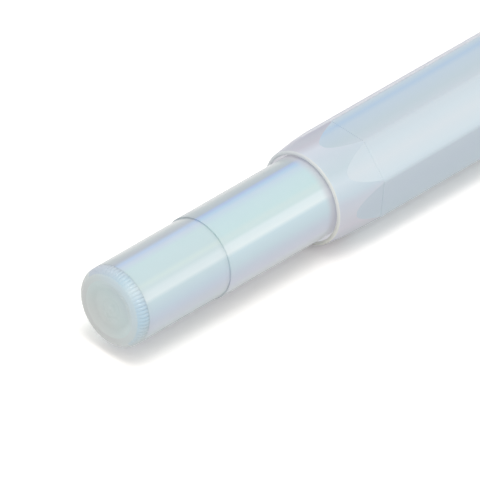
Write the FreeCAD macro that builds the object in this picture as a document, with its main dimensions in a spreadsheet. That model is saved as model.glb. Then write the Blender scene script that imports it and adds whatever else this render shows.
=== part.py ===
import FreeCAD, Part
import os
import re

import Sketcher

# A lens cleaning pen: a sliding brush under an eight-sided cap, and a tilting carbon tip under a
# turning rear cover. Millimetres. Each piece is drawn with the pen's axis along +X and station 0
# at the rear face of the closed pen; its Placement then puts the origin under the middle of the
# pen, on the surface that it lies on.

SHEET = "Sizes"

DRIVING_SIZES = {
    # Outside of the closed pen, from the rear face forwards.
    "knob_length": 1.5,
    "cover_length": 13.9,
    "grip_length": 17.9,
    "cap_length": 66.7,
    "barrel_radius": 5.33,
    "cover_step": 0.16,
    "knob_step": 0.02,
    "seam_chamfer": 0.07,
    # Ribbed turning knob.
    "knob_edge": 1.0,
    "knob_dish_radius": 3.7,
    "knob_dish_depth": 0.45,
    "knob_spigot_length": 1.2,
    "rib_count": 66,
    "rib_length": 1.1,
    "rib_depth": 0.16,
    "rib_gap": 0.28,
    # Cap shell: lip, collar and flats.
    "mouth_gap": 0.27,
    "lip_wall": 0.52,
    "lip_round": 0.3,
    "lip_inner_round": 0.18,
    "mouth_seal_setback": 0.6,
    "mouth_seal_width": 0.5,
    "mouth_seal_slope": 0.35,
    "mouth_seal_gap": 0.1,
    "collar_length": 7.25,
    "corner_wall": 1.33,
    "flat_wall": 0.86,
    "flat_drop": 0.06,
    "flat_count": 8,
    "mouth_overlap": 3.0,
    "crown_wall": 3.0,
    "crown_chamfer": 0.8,
    # Crown inlay and its screw.
    "inlay_radius": 4.0,
    "inlay_depth": 0.8,
    "inlay_chamfer": 0.15,
    "screw_radius": 1.15,
    "screw_clearance": 0.05,
    "screw_head_radius": 2.2,
    "screw_head_height": 0.8,
    "screw_slot_width": 0.5,
    "screw_slot_depth": 0.35,
    # Cap liner.
    "liner_wall": 0.5,
    "liner_floor": 1.0,
    "liner_setback": 2.5,
    "liner_lead_in": 0.3,
    # Fits.
    "bond_gap": 0.05,
    "press_gap": 0.04,
    "pin_gap": 0.02,
    "pivot_gap": 0.05,
    "ring_gap": 0.12,
    "ring_side_gap": 0.06,
    "slide_gap": 0.2,
    "cover_gap": 0.15,
    # Rear cover and the carbon in it.
    "cover_wall": 0.72,
    "cup_floor": 0.5,
    "cup_wall": 0.5,
    "cup_lip": 0.4,
    "carbon_foam_thickness": 0.7,
    "carbon_felt_thickness": 0.7,
    # Tilting cleaning tip.
    "tip_gap": 0.5,
    "tip_side_gap": 0.8,
    "tip_dish": 0.2,
    "tip_rim": 0.5,
    "tip_round": 0.3,
    "tip_pad_thickness": 0.6,
    "tip_foam_thickness": 0.8,
    "tip_foam_inset": 0.2,
    "tip_flange": 0.7,
    "tip_boss": 0.7,
    "tip_boss_inset": 0.3,
    "pivot_reach": 1.2,
    "pivot_radius": 0.5,
    "tongue_reach": 0.75,
    "tongue_half_height": 1.1,
    "tongue_width": 1.5,
    "fork_gap": 0.1,
    "fork_setback": 0.35,
    "neck_inset": 1.9,
    "neck_stud_radius": 1.45,
    "neck_stud_length": 4.0,
    # Tail bush and the rear grip ring.
    "bush_spigot_length": 2.6,
    "bush_plug_length": 5.7,
    "bush_plug_inset": 1.43,
    "plug_pocket_gap": 0.3,
    "bush_shoulder": 0.8,
    "ring_groove_width": 0.8,
    "ring_thickness": 0.55,
    "ring_groove_gap": 0.1,
    "ring_split": 0.8,
    # Barrel under the cap.
    "section_step": 1.23,
    "section_wall": 1.0,
    "shoulder_chamfer": 0.5,
    "collar_ridge_gap": 0.3,
    "collar_ridge_length": 4.2,
    "collar_ridge_setback": 2.0,
    "cap_ring_shoulder": 1.7,
    # Brush and its slide.
    "brush_travel": 12.0,
    "brush_tip_gap": 1.2,
    "bristle_reach": 13.0,
    "bristle_swell": 0.25,
    "bristle_swell_reach": 6.0,
    "bristle_taper_reach": 3.0,
    "bristle_shoulder_radius": 1.6,
    "bristle_tip_radius": 0.6,
    "ferrule_length": 6.5,
    "ferrule_wall": 0.3,
    "crimp_depth": 0.1,
    "crimp_width": 0.5,
    "crimp_setback": 1.2,
    "ferrule_pin_radius": 0.35,
    "ferrule_pin_reach": 1.4,
    "brush_spigot_length": 2.8,
    "carriage_length": 8.5,
    "carriage_flat_depth": 0.7,
    "button_setback": 1.5,
    "button_length": 5.0,
    "button_top_gap": 0.55,
    "button_dip": 0.3,
    "button_rim": 0.7,
    "button_side_gap": 0.1,
    "slot_width": 3.2,
    "slot_end_gap": 0.3,
    "spring_width": 1.6,
    "spring_thickness": 0.25,
    "spring_bow": 0.28,
    "spring_foot": 0.8,
    "spring_crest": 0.4,
    "spring_setback": 1.0,
    "spring_length": 6.0,
    # Nozzle.
    "nozzle_wall": 0.6,
    "nozzle_spigot_length": 2.5,
    "nozzle_rim": 0.8,
    "nozzle_tip_wall": 0.8,
    "nozzle_shade": 1.0,
    "nozzle_stop_gap": 0.4,
}

# Radii, each worked out from the barrel's.
COVER_RADIUS = "(barrel_radius - cover_step)"
KNOB_RADIUS = f"({COVER_RADIUS} - knob_step)"
COVER_BORE = f"({COVER_RADIUS} - cover_wall)"
KNOB_SPIGOT_RADIUS = f"({COVER_BORE} - bond_gap)"
CUP_BORE = f"({KNOB_SPIGOT_RADIUS} - cup_wall)"
CARBON_RADIUS = f"({CUP_BORE} - bond_gap)"
TIP_RADIUS = f"({CUP_BORE} - tip_side_gap)"
BUSH_SPIGOT_RADIUS = f"({COVER_BORE} - cover_gap)"
BUSH_PLUG_BORE = "(barrel_radius - bush_plug_inset)"
BUSH_BORE = "(neck_stud_radius + bond_gap)"
COVER_RING_OUTER = f"({COVER_BORE} - ring_gap)"
COVER_RING_INNER = f"({COVER_RING_OUTER} - ring_thickness)"
COVER_GROOVE_RADIUS = f"({COVER_RING_INNER} - ring_groove_gap)"
NECK_RADIUS = f"({BUSH_SPIGOT_RADIUS} - neck_inset)"
TIP_BOSS_RADIUS = f"({NECK_RADIUS} - tip_boss_inset)"
SECTION_RADIUS = "(barrel_radius - section_step)"
BARREL_BORE = f"({SECTION_RADIUS} - section_wall)"
CARRIAGE_RADIUS = f"({BARREL_BORE} - slide_gap)"
CARRIAGE_SEAT = f"({CARRIAGE_RADIUS} - carriage_flat_depth)"
NOZZLE_BORE = f"({BARREL_BORE} - nozzle_wall)"
NOZZLE_SPIGOT_RADIUS = f"({BARREL_BORE} - press_gap)"
FERRULE_RADIUS = f"({NOZZLE_BORE} - slide_gap)"
FERRULE_BORE = f"({FERRULE_RADIUS} - ferrule_wall)"
TUFT_RADIUS = f"({FERRULE_BORE} - press_gap)"
CAP_BORE = "(barrel_radius + mouth_gap)"
LIP_RADIUS = f"({CAP_BORE} + lip_wall)"
MOUTH_SEAL_RADIUS = "(barrel_radius + mouth_seal_gap)"
CORNER_RADIUS = f"({CAP_BORE} + corner_wall)"
FLAT_APOTHEM = f"({CAP_BORE} + flat_wall)"
LINER_RADIUS = f"({CAP_BORE} - bond_gap)"
LINER_BORE = f"({LINER_RADIUS} - liner_wall)"
COLLAR_RIDGE_RADIUS = f"({LINER_BORE} - collar_ridge_gap)"
CAP_RING_OUTER = f"({LINER_BORE} - ring_gap)"
CAP_RING_INNER = f"({CAP_RING_OUTER} - ring_thickness)"
CAP_GROOVE_RADIUS = f"({CAP_RING_INNER} - ring_groove_gap)"
BUTTON_TOP = f"({LINER_BORE} - button_top_gap)"
SCREW_HOLE_RADIUS = "(screw_radius + screw_clearance)"

# Stations along the axis, from the rear face of the closed pen.
COVER_START = "knob_length"
BARREL_START = "(knob_length + cover_length)"
MOUTH = f"({BARREL_START} + grip_length)"
MOUTH_SEAL_START = f"({MOUTH} + mouth_seal_setback)"
MOUTH_SEAL_END = f"({MOUTH_SEAL_START} + mouth_seal_width)"
KINK = f"({MOUTH} + collar_length)"
CAP_END = f"({MOUTH} + cap_length)"

CUP_START = f"({COVER_START} + knob_spigot_length)"
CUP_FLOOR_END = f"({CUP_START} + cup_floor)"
CARBON_FOAM_END = f"({CUP_FLOOR_END} + carbon_foam_thickness)"
CARBON_FELT_END = f"({CARBON_FOAM_END} + carbon_felt_thickness)"
CUP_END = f"({CARBON_FELT_END} + cup_lip)"
PAD_START = f"({CARBON_FELT_END} + tip_gap)"
PAD_END = f"({PAD_START} + tip_pad_thickness)"
TIP_FOAM_END = f"({PAD_END} + tip_foam_thickness)"
TIP_FLANGE_END = f"({TIP_FOAM_END} + tip_flange)"
TIP_BOSS_END = f"({TIP_FLANGE_END} + tip_boss)"
PIVOT = f"({TIP_BOSS_END} + pivot_reach)"
TONGUE_END = f"({PIVOT} + tongue_reach)"
FORK_START = f"({TIP_BOSS_END} + fork_setback)"
FORK_BASE = f"({PIVOT} + pivot_reach)"

BUSH_START = f"({BARREL_START} - bush_spigot_length)"
COVER_GROOVE_START = f"({BUSH_START} + bush_shoulder)"
COVER_GROOVE_END = f"({COVER_GROOVE_START} + ring_groove_width)"
BUSH_END = f"({BARREL_START} + bush_plug_length)"
PLUG_POCKET_END = f"({BUSH_END} + plug_pocket_gap)"
NECK_END = f"({BUSH_START} + neck_stud_length)"

INLAY_START = f"({CAP_END} - inlay_depth)"
LINER_END = f"({CAP_END} - crown_wall)"
LINER_FLOOR_START = f"({LINER_END} - liner_floor)"
CAP_INSIDE_END = f"({LINER_FLOOR_START} - screw_head_height)"
SECTION_START = f"({MOUTH} + mouth_overlap)"
LINER_START = f"({SECTION_START} + liner_setback)"

BRISTLE_TIP = f"({CAP_INSIDE_END} - brush_tip_gap - brush_travel)"
FERRULE_END = f"({BRISTLE_TIP} - bristle_reach)"
CARRIAGE_END = f"({FERRULE_END} - ferrule_length)"
CARRIAGE_START = f"({CARRIAGE_END} - carriage_length)"
TUFT_START = f"({CARRIAGE_END} + brush_spigot_length)"
FERRULE_PIN_STATION = f"({CARRIAGE_END} + ferrule_pin_reach)"
CRIMP_END = f"({FERRULE_END} - crimp_setback)"
CRIMP_START = f"({CRIMP_END} - crimp_width)"
BUTTON_START = f"({CARRIAGE_START} + button_setback)"
BUTTON_END = f"({BUTTON_START} + button_length)"
BUTTON_MIDDLE = f"({BUTTON_START} + button_length / 2)"
SPRING_START = f"({CARRIAGE_START} + spring_setback)"
SPRING_END = f"({SPRING_START} + spring_length)"
SPRING_MIDDLE = f"({SPRING_START} + spring_length / 2)"
SLOT_START = f"({BUTTON_START} - slot_end_gap)"
SLOT_END = f"({BUTTON_END} + brush_travel + slot_end_gap)"
COLLAR_RIDGE_END = f"({SLOT_START} - collar_ridge_setback)"
COLLAR_RIDGE_START = f"({COLLAR_RIDGE_END} - collar_ridge_length)"
CAP_GROOVE_START = f"({COLLAR_RIDGE_START} + cap_ring_shoulder)"
CAP_GROOVE_END = f"({CAP_GROOVE_START} + ring_groove_width)"
NOZZLE_START = f"({CARRIAGE_END} + brush_travel + nozzle_stop_gap)"
BARREL_END = f"({NOZZLE_START} + nozzle_spigot_length)"
NOZZLE_RIM_END = f"({BARREL_END} + nozzle_rim)"
NOZZLE_END = f"({BRISTLE_TIP} + nozzle_shade)"

doc = FreeCAD.newDocument("lens_cleaning_pen")
sheet = doc.addObject("Spreadsheet::Sheet", SHEET)
for row, (alias, size) in enumerate(DRIVING_SIZES.items(), start=1):
    sheet.set(f"A{row}", alias)
    sheet.set(f"B{row}", str(size))
    sheet.setAlias(f"B{row}", alias)
doc.recompute()


def bound(text):
    """The expression with every size's name pointed at its cell in the sheet."""
    return re.sub(r"[a-z_]+", lambda word: f"{SHEET}.{word[0]}" if word[0] in DRIVING_SIZES else word[0], text)


def value(text):
    """What the expression comes to now, as a plain number."""
    return float(sheet.evalExpression(bound(text)))


def bind(feature, path, text):
    """Bind one property of a feature to an expression of sizes."""
    feature.setExpression(path, bound(text))


def new_body(label):
    """An empty body, placed so that the pen lies on Z = 0 with its middle above the origin."""
    body = doc.addObject("PartDesign::Body", label)
    body.Label = label
    bind(body, "Placement.Base.x", f"-{CAP_END} / 2")
    bind(body, "Placement.Base.z", FLAT_APOTHEM)
    return body


def origin_feature(body, role):
    """One of the body's own origin planes or axes."""
    return next(feature for feature in body.Origin.OriginFeatures if feature.Role == role)


def new_sketch(body, role, station=None):
    """An empty sketch on an origin plane, or at a station ahead of it."""
    sketch = body.newObject("Sketcher::SketchObject", f"{body.Name}_sketch")
    sketch.AttachmentSupport = [(origin_feature(body, role), "")]
    sketch.MapMode = "FlatFace"
    if station:
        bind(sketch, "AttachmentOffset.Base.z", station)
    return sketch


def pin_down(sketch, geometry, point, across, up, name):
    """Hold a point of the sketch at a place given by two expressions."""
    for kind, axis, text in (("DistanceX", -2, across), ("DistanceY", -1, up)):
        if text == "0":
            sketch.addConstraint(Sketcher.Constraint("PointOnObject", geometry, point, axis))
            continue
        number = sketch.addConstraint(Sketcher.Constraint(kind, geometry, point, value(text)))
        sketch.renameConstraint(number, f"{name}_{kind[-1].lower()}")
        bind(sketch, f"Constraints.{name}_{kind[-1].lower()}", text)


def polygon_sketch(body, role, points, station=None):
    """A closed outline of straight lines, with every corner bound to the sheet."""
    sketch = new_sketch(body, role, station)
    places = [FreeCAD.Vector(value(across), value(up), 0) for across, up in points]
    count = len(points)
    for index in range(count):
        sketch.addGeometry(Part.LineSegment(places[index], places[(index + 1) % count]))
    for index in range(count):
        sketch.addConstraint(Sketcher.Constraint("Coincident", index, 2, (index + 1) % count, 1))
    for index, (across, up) in enumerate(points):
        pin_down(sketch, index, 1, across, up, f"corner{index}")
    return sketch


def circle_sketch(body, role, centre, radius):
    """One circle, with its centre and radius bound to the sheet."""
    sketch = new_sketch(body, role)
    place = FreeCAD.Vector(value(centre[0]), value(centre[1]), 0)
    sketch.addGeometry(Part.Circle(place, FreeCAD.Vector(0, 0, 1), value(radius)))
    pin_down(sketch, 0, 3, centre[0], centre[1], "centre")
    number = sketch.addConstraint(Sketcher.Constraint("Radius", 0, value(radius)))
    sketch.renameConstraint(number, "radius")
    bind(sketch, "Constraints.radius", radius)
    return sketch


def rectangle(start, end, low, high):
    """The four corners of a rectangle."""
    return [(start, low), (end, low), (end, high), (start, high)]


def turned(label, outline):
    """A body turned about the pen's axis from an outline of (station, radius) corners."""
    body = new_body(label)
    revolution = body.newObject("PartDesign::Revolution", f"{label}_turned")
    revolution.Profile = polygon_sketch(body, "XZ_Plane", outline)
    revolution.ReferenceAxis = (revolution.Profile[0], ["H_Axis"])
    revolution.Angle = 360
    body.Tip = revolution
    doc.recompute()
    return body


def pad_sideways(body, sketch, width):
    """Pad a side-view sketch to both sides of the pen's middle plane."""
    pad = body.newObject("PartDesign::Pad", f"{body.Name}_pad")
    pad.Profile = sketch
    pad.SideType = "Symmetric"
    bind(pad, "Length", width)
    body.Tip = pad
    doc.recompute()


def cut(body, sketch, side, depth=None):
    """Cut a sketch's shape away: through both sides, or to the sketch's front or back."""
    before = body.Shape.Volume
    pocket = body.newObject("PartDesign::Pocket", f"{body.Name}_cut")
    pocket.Profile = sketch
    if side == "both":
        pocket.SideType = "Symmetric"
    pocket.Reversed = side == "front"
    if depth:
        bind(pocket, "Length", depth)
    else:
        pocket.Type = "ThroughAll"
    body.Tip = pocket
    doc.recompute()
    if body.Shape.Volume > before - 1e-4:
        raise RuntimeError(f"{body.Label}: a cut removes nothing")
    return pocket


def repeat_round(body, feature, count):
    """Repeat a feature evenly round the pen's axis."""
    pattern = body.newObject("PartDesign::PolarPattern", f"{body.Name}_round")
    pattern.Originals = [feature]
    pattern.Axis = (origin_feature(body, "X_Axis"), [""])
    pattern.Angle = 360
    bind(pattern, "Occurrences", count)
    body.Tip = pattern
    doc.recompute()


def round_rims(body, rims):
    """Round the circular edges found at each (station, radius) to the given size."""
    for station, radius, size in rims:
        base = body.Tip
        names = []
        for number, edge in enumerate(base.Shape.Edges, start=1):
            if not isinstance(edge.Curve, Part.Circle):
                continue
            off_station = abs(edge.Curve.Center.x - value(station))
            off_radius = abs(edge.Curve.Radius - value(radius))
            if off_station < 1e-4 and off_radius < 1e-4:
                names.append(f"Edge{number}")
        fillet = body.newObject("PartDesign::Fillet", f"{body.Name}_round_rim")
        fillet.Base = (base, names)
        bind(fillet, "Radius", size)
        body.Tip = fillet
        doc.recompute()


def cross_pin(label, station, radius, reach):
    """A plain pin across the pen, through its axis."""
    body = new_body(label)
    pad_sideways(body, circle_sketch(body, "XZ_Plane", (station, "0"), radius), f"2 * {reach}")
    return body


def cross_hole(body, station, radius):
    """A hole across the pen, through its axis."""
    cut(body, circle_sketch(body, "XZ_Plane", (station, "0"), radius), "both")


def disc(label, start, end, radius):
    """A plain disc on the pen's axis."""
    return turned(label, [(start, "0"), (start, radius), (end, radius), (end, "0")])


def split_ring(label, start, end, inner, outer):
    """A ring of rectangular section, loose in its groove, with a gap at the top."""
    near = f"({start} + ring_side_gap)"
    far = f"({end} - ring_side_gap)"
    body = turned(label, rectangle(near, far, inner, outer))
    gap = polygon_sketch(body, "XY_Plane", rectangle(start, end, "-ring_split / 2", "ring_split / 2"))
    cut(body, gap, "front")
    return body


def make_end_knob():
    """Ribbed turning knob, with a dished end face and a spigot in the rear cover."""
    body = turned("end_knob", [
        ("knob_dish_depth", "0"),
        ("0", "knob_dish_radius"),
        ("0", KNOB_RADIUS),
        (COVER_START, KNOB_RADIUS),
        (COVER_START, KNOB_SPIGOT_RADIUS),
        (CUP_START, KNOB_SPIGOT_RADIUS),
        (CUP_START, "0"),
    ])
    round_rims(body, [("0", KNOB_RADIUS, "knob_edge")])
    notch = polygon_sketch(body, "YZ_Plane", [
        ("0", f"({KNOB_RADIUS} - rib_depth)"),
        ("rib_gap / 2", f"({KNOB_RADIUS} + seam_chamfer)"),
        ("-rib_gap / 2", f"({KNOB_RADIUS} + seam_chamfer)"),
    ], station=COVER_START)
    repeat_round(body, cut(body, notch, "back", "rib_length"), "rib_count")


def make_rear_cover():
    """Plain sleeve over the cleaning tip."""
    turned("rear_cover", [
        (COVER_START, COVER_BORE),
        (COVER_START, f"({COVER_RADIUS} - seam_chamfer)"),
        (f"({COVER_START} + seam_chamfer)", COVER_RADIUS),
        (f"({BARREL_START} - seam_chamfer)", COVER_RADIUS),
        (BARREL_START, f"({COVER_RADIUS} - seam_chamfer)"),
        (BARREL_START, COVER_BORE),
    ])


def make_carbon_store():
    """Cup with the carbon felt on its springy foam."""
    turned("carbon_cup", [
        (CUP_START, "0"),
        (CUP_START, KNOB_SPIGOT_RADIUS),
        (CUP_END, KNOB_SPIGOT_RADIUS),
        (CUP_END, CUP_BORE),
        (CUP_FLOOR_END, CUP_BORE),
        (CUP_FLOOR_END, "0"),
    ])
    disc("carbon_foam", CUP_FLOOR_END, CARBON_FOAM_END, CARBON_RADIUS)
    disc("carbon_felt", CARBON_FOAM_END, CARBON_FELT_END, CARBON_RADIUS)


def make_tip_head():
    """Cleaning pad on foam, in a holder whose tongue tilts in the neck's fork."""
    pad = turned("tip_pad", [
        (f"({PAD_START} + tip_dish)", "0"),
        (PAD_START, f"({TIP_RADIUS} - tip_rim)"),
        (PAD_START, TIP_RADIUS),
        (PAD_END, TIP_RADIUS),
        (PAD_END, "0"),
    ])
    round_rims(pad, [(PAD_START, TIP_RADIUS, "tip_round")])
    disc("tip_foam", PAD_END, TIP_FOAM_END, f"({TIP_RADIUS} - tip_foam_inset)")
    holder = turned("tip_cup", [
        (TIP_FOAM_END, "0"),
        (TIP_FOAM_END, TIP_RADIUS),
        (TIP_FLANGE_END, TIP_RADIUS),
        (TIP_FLANGE_END, TIP_BOSS_RADIUS),
        (TIP_BOSS_END, TIP_BOSS_RADIUS),
        (TIP_BOSS_END, "0"),
    ])
    tongue = rectangle(TIP_FLANGE_END, TONGUE_END, "-tongue_half_height", "tongue_half_height")
    pad_sideways(holder, polygon_sketch(holder, "XZ_Plane", tongue), "tongue_width")
    cross_hole(holder, PIVOT, "(pivot_radius + pivot_gap)")


def make_neck():
    """Forked neck of the tip, and the pin in its fork."""
    neck = turned("tip_neck", [
        (FORK_START, "0"),
        (FORK_START, NECK_RADIUS),
        (BUSH_START, NECK_RADIUS),
        (BUSH_START, "neck_stud_radius"),
        (NECK_END, "neck_stud_radius"),
        (NECK_END, "0"),
    ])
    half_gap = "(tongue_width / 2 + fork_gap)"
    fork = rectangle(TIP_BOSS_END, FORK_BASE, f"-{half_gap}", half_gap)
    cut(neck, polygon_sketch(neck, "XY_Plane", fork), "both")
    cross_hole(neck, PIVOT, "(pivot_radius + pin_gap)")
    cross_pin("tip_pivot_pin", PIVOT, "pivot_radius", f"({NECK_RADIUS} - fork_gap)")


def make_tail_bush():
    """Bush pressed in the barrel, with the groove of the rear cover's grip ring."""
    turned("tail_bush", [
        (BUSH_START, BUSH_BORE),
        (BUSH_START, BUSH_SPIGOT_RADIUS),
        (COVER_GROOVE_START, BUSH_SPIGOT_RADIUS),
        (COVER_GROOVE_START, COVER_GROOVE_RADIUS),
        (COVER_GROOVE_END, COVER_GROOVE_RADIUS),
        (COVER_GROOVE_END, BUSH_SPIGOT_RADIUS),
        (BARREL_START, BUSH_SPIGOT_RADIUS),
        (BARREL_START, f"({BUSH_PLUG_BORE} - press_gap)"),
        (BUSH_END, f"({BUSH_PLUG_BORE} - press_gap)"),
        (BUSH_END, BUSH_BORE),
    ])
    split_ring("cover_grip_ring", COVER_GROOVE_START, COVER_GROOVE_END, COVER_RING_INNER, COVER_RING_OUTER)


def make_barrel():
    """Barrel tube: the plain grip, and the slimmer stretch under the cap with the button's slot."""
    body = turned("barrel_tube", [
        (BARREL_START, BUSH_PLUG_BORE),
        (BARREL_START, "(barrel_radius - seam_chamfer)"),
        (f"({BARREL_START} + seam_chamfer)", "barrel_radius"),
        (SECTION_START, "barrel_radius"),
        (f"({SECTION_START} + shoulder_chamfer)", SECTION_RADIUS),
        (COLLAR_RIDGE_START, SECTION_RADIUS),
        (COLLAR_RIDGE_START, COLLAR_RIDGE_RADIUS),
        (CAP_GROOVE_START, COLLAR_RIDGE_RADIUS),
        (CAP_GROOVE_START, CAP_GROOVE_RADIUS),
        (CAP_GROOVE_END, CAP_GROOVE_RADIUS),
        (CAP_GROOVE_END, COLLAR_RIDGE_RADIUS),
        (COLLAR_RIDGE_END, COLLAR_RIDGE_RADIUS),
        (COLLAR_RIDGE_END, SECTION_RADIUS),
        (BARREL_END, SECTION_RADIUS),
        (BARREL_END, BARREL_BORE),
        (PLUG_POCKET_END, BARREL_BORE),
        (PLUG_POCKET_END, BUSH_PLUG_BORE),
    ])
    slot = rectangle(SLOT_START, SLOT_END, "-slot_width / 2", "slot_width / 2")
    cut(body, polygon_sketch(body, "XY_Plane", slot), "front")
    split_ring("cap_grip_ring", CAP_GROOVE_START, CAP_GROOVE_END, CAP_RING_INNER, CAP_RING_OUTER)


def make_nozzle():
    """Mouthpiece pressed in the barrel's front end, which the ferrule slides through."""
    turned("nozzle", [
        (NOZZLE_START, NOZZLE_BORE),
        (NOZZLE_START, NOZZLE_SPIGOT_RADIUS),
        (BARREL_END, NOZZLE_SPIGOT_RADIUS),
        (BARREL_END, SECTION_RADIUS),
        (NOZZLE_RIM_END, SECTION_RADIUS),
        (NOZZLE_END, f"({NOZZLE_BORE} + nozzle_tip_wall)"),
        (NOZZLE_END, NOZZLE_BORE),
    ])


def make_brush_slide():
    """Carriage with its thumb button above and its leaf spring below."""
    carriage = turned("brush_carriage", [
        (CARRIAGE_START, "0"),
        (CARRIAGE_START, CARRIAGE_RADIUS),
        (CARRIAGE_END, CARRIAGE_RADIUS),
        (CARRIAGE_END, TUFT_RADIUS),
        (TUFT_START, TUFT_RADIUS),
        (TUFT_START, "0"),
    ])
    button_start = f"({BUTTON_START} - bond_gap)"
    button_end = f"({BUTTON_END} + bond_gap)"
    flat = rectangle(button_start, button_end, CARRIAGE_SEAT, BARREL_BORE)
    cut(carriage, polygon_sketch(carriage, "XZ_Plane", flat), "both")
    spring_start = f"({SPRING_START} - bond_gap)"
    spring_end = f"({SPRING_END} + bond_gap)"
    floor = rectangle(spring_start, spring_end, f"-{BARREL_BORE}", f"-{CARRIAGE_SEAT}")
    cut(carriage, polygon_sketch(carriage, "XZ_Plane", floor), "both")
    cross_hole(carriage, FERRULE_PIN_STATION, "(ferrule_pin_radius + pin_gap)")

    button = new_body("slider_button")
    side = polygon_sketch(button, "XZ_Plane", [
        (BUTTON_START, CARRIAGE_SEAT),
        (BUTTON_END, CARRIAGE_SEAT),
        (BUTTON_END, BUTTON_TOP),
        (f"({BUTTON_END} - button_rim)", BUTTON_TOP),
        (BUTTON_MIDDLE, f"({BUTTON_TOP} - button_dip)"),
        (f"({BUTTON_START} + button_rim)", BUTTON_TOP),
        (BUTTON_START, BUTTON_TOP),
    ])
    pad_sideways(button, side, "(slot_width - 2 * button_side_gap)")

    spring = new_body("slide_spring")
    crest = f"(-{CARRIAGE_SEAT} - spring_bow)"
    side = polygon_sketch(spring, "XZ_Plane", [
        (SPRING_START, f"-{CARRIAGE_SEAT}"),
        (f"({SPRING_START} + spring_foot)", f"-{CARRIAGE_SEAT}"),
        (f"({SPRING_MIDDLE} - spring_crest)", crest),
        (f"({SPRING_MIDDLE} + spring_crest)", crest),
        (f"({SPRING_END} - spring_foot)", f"-{CARRIAGE_SEAT}"),
        (SPRING_END, f"-{CARRIAGE_SEAT}"),
        (SPRING_END, f"(-{CARRIAGE_SEAT} - spring_thickness)"),
        (f"({SPRING_END} - spring_foot)", f"(-{CARRIAGE_SEAT} - spring_thickness)"),
        (f"({SPRING_MIDDLE} + spring_crest)", f"({crest} - spring_thickness)"),
        (f"({SPRING_MIDDLE} - spring_crest)", f"({crest} - spring_thickness)"),
        (f"({SPRING_START} + spring_foot)", f"(-{CARRIAGE_SEAT} - spring_thickness)"),
        (SPRING_START, f"(-{CARRIAGE_SEAT} - spring_thickness)"),
    ])
    pad_sideways(spring, side, "spring_width")


def make_brush():
    """Crimped ferrule, the pin that holds it on the carriage, and the tuft."""
    ferrule = turned("brush_ferrule", [
        (CARRIAGE_END, FERRULE_BORE),
        (CARRIAGE_END, FERRULE_RADIUS),
        (CRIMP_START, FERRULE_RADIUS),
        (f"({CRIMP_START} + crimp_depth)", f"({FERRULE_RADIUS} - crimp_depth)"),
        (f"({CRIMP_END} - crimp_depth)", f"({FERRULE_RADIUS} - crimp_depth)"),
        (CRIMP_END, FERRULE_RADIUS),
        (FERRULE_END, FERRULE_RADIUS),
        (FERRULE_END, FERRULE_BORE),
    ])
    cross_hole(ferrule, FERRULE_PIN_STATION, "(ferrule_pin_radius + pin_gap)")
    cross_pin("ferrule_pin", FERRULE_PIN_STATION, "ferrule_pin_radius", FERRULE_RADIUS)
    turned("brush_bristles", [
        (TUFT_START, "0"),
        (TUFT_START, TUFT_RADIUS),
        (FERRULE_END, TUFT_RADIUS),
        (f"({FERRULE_END} + bristle_swell_reach)", f"({TUFT_RADIUS} + bristle_swell)"),
        (f"({BRISTLE_TIP} - bristle_taper_reach)", "bristle_shoulder_radius"),
        (BRISTLE_TIP, "bristle_tip_radius"),
        (BRISTLE_TIP, "0"),
    ])


def make_cap_shell():
    """Cap with a rounded lip, a low wiping ridge in its mouth and a conical collar, cut to eight flats."""
    body = turned("cap_shell", [
        (MOUTH, CAP_BORE),
        (MOUTH, LIP_RADIUS),
        (KINK, CORNER_RADIUS),
        (f"({CAP_END} - crown_chamfer)", CORNER_RADIUS),
        (CAP_END, f"({CORNER_RADIUS} - crown_chamfer)"),
        (CAP_END, "inlay_radius"),
        (INLAY_START, "inlay_radius"),
        (INLAY_START, SCREW_HOLE_RADIUS),
        (LINER_END, SCREW_HOLE_RADIUS),
        (LINER_END, CAP_BORE),
        (f"({MOUTH_SEAL_END} + mouth_seal_slope)", CAP_BORE),
        (MOUTH_SEAL_END, MOUTH_SEAL_RADIUS),
        (MOUTH_SEAL_START, MOUTH_SEAL_RADIUS),
        (f"({MOUTH_SEAL_START} - mouth_seal_slope)", CAP_BORE),
    ])
    round_rims(body, [(MOUTH, LIP_RADIUS, "lip_round"), (MOUTH, CAP_BORE, "lip_inner_round")])
    waste_top = f"({CORNER_RADIUS} + lip_wall)"
    above_flat = polygon_sketch(body, "XZ_Plane", [
        (MOUTH, f"({FLAT_APOTHEM} - flat_drop)"),
        (KINK, FLAT_APOTHEM),
        (CAP_END, FLAT_APOTHEM),
        (CAP_END, waste_top),
        (MOUTH, waste_top),
    ])
    repeat_round(body, cut(body, above_flat, "both"), "flat_count")


def make_cap_inside():
    """Liner, and the screw and inlay that hold it to the cap's end wall."""
    turned("cap_liner", [
        (LINER_START, f"({LINER_BORE} + liner_lead_in)"),
        (LINER_START, LINER_RADIUS),
        (LINER_END, LINER_RADIUS),
        (LINER_END, SCREW_HOLE_RADIUS),
        (LINER_FLOOR_START, SCREW_HOLE_RADIUS),
        (LINER_FLOOR_START, LINER_BORE),
        (f"({LINER_START} + liner_lead_in)", LINER_BORE),
    ])
    screw = turned("crown_screw", [
        (CAP_INSIDE_END, "0"),
        (CAP_INSIDE_END, "screw_head_radius"),
        (LINER_FLOOR_START, "screw_head_radius"),
        (LINER_FLOOR_START, "screw_radius"),
        (INLAY_START, "screw_radius"),
        (INLAY_START, "0"),
    ])
    slot_low = "-screw_slot_width / 2"
    slot_high = "screw_slot_width / 2"
    slot = rectangle("-screw_head_radius", "screw_head_radius", slot_low, slot_high)
    cut(screw, polygon_sketch(screw, "YZ_Plane", slot, station=CAP_INSIDE_END), "front", "screw_slot_depth")
    turned("crown_inlay", [
        (INLAY_START, "0"),
        (INLAY_START, "(inlay_radius - bond_gap)"),
        (f"({CAP_END} - inlay_chamfer)", "(inlay_radius - bond_gap)"),
        (CAP_END, "(inlay_radius - bond_gap - inlay_chamfer)"),
        (CAP_END, "0"),
    ])


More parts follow.
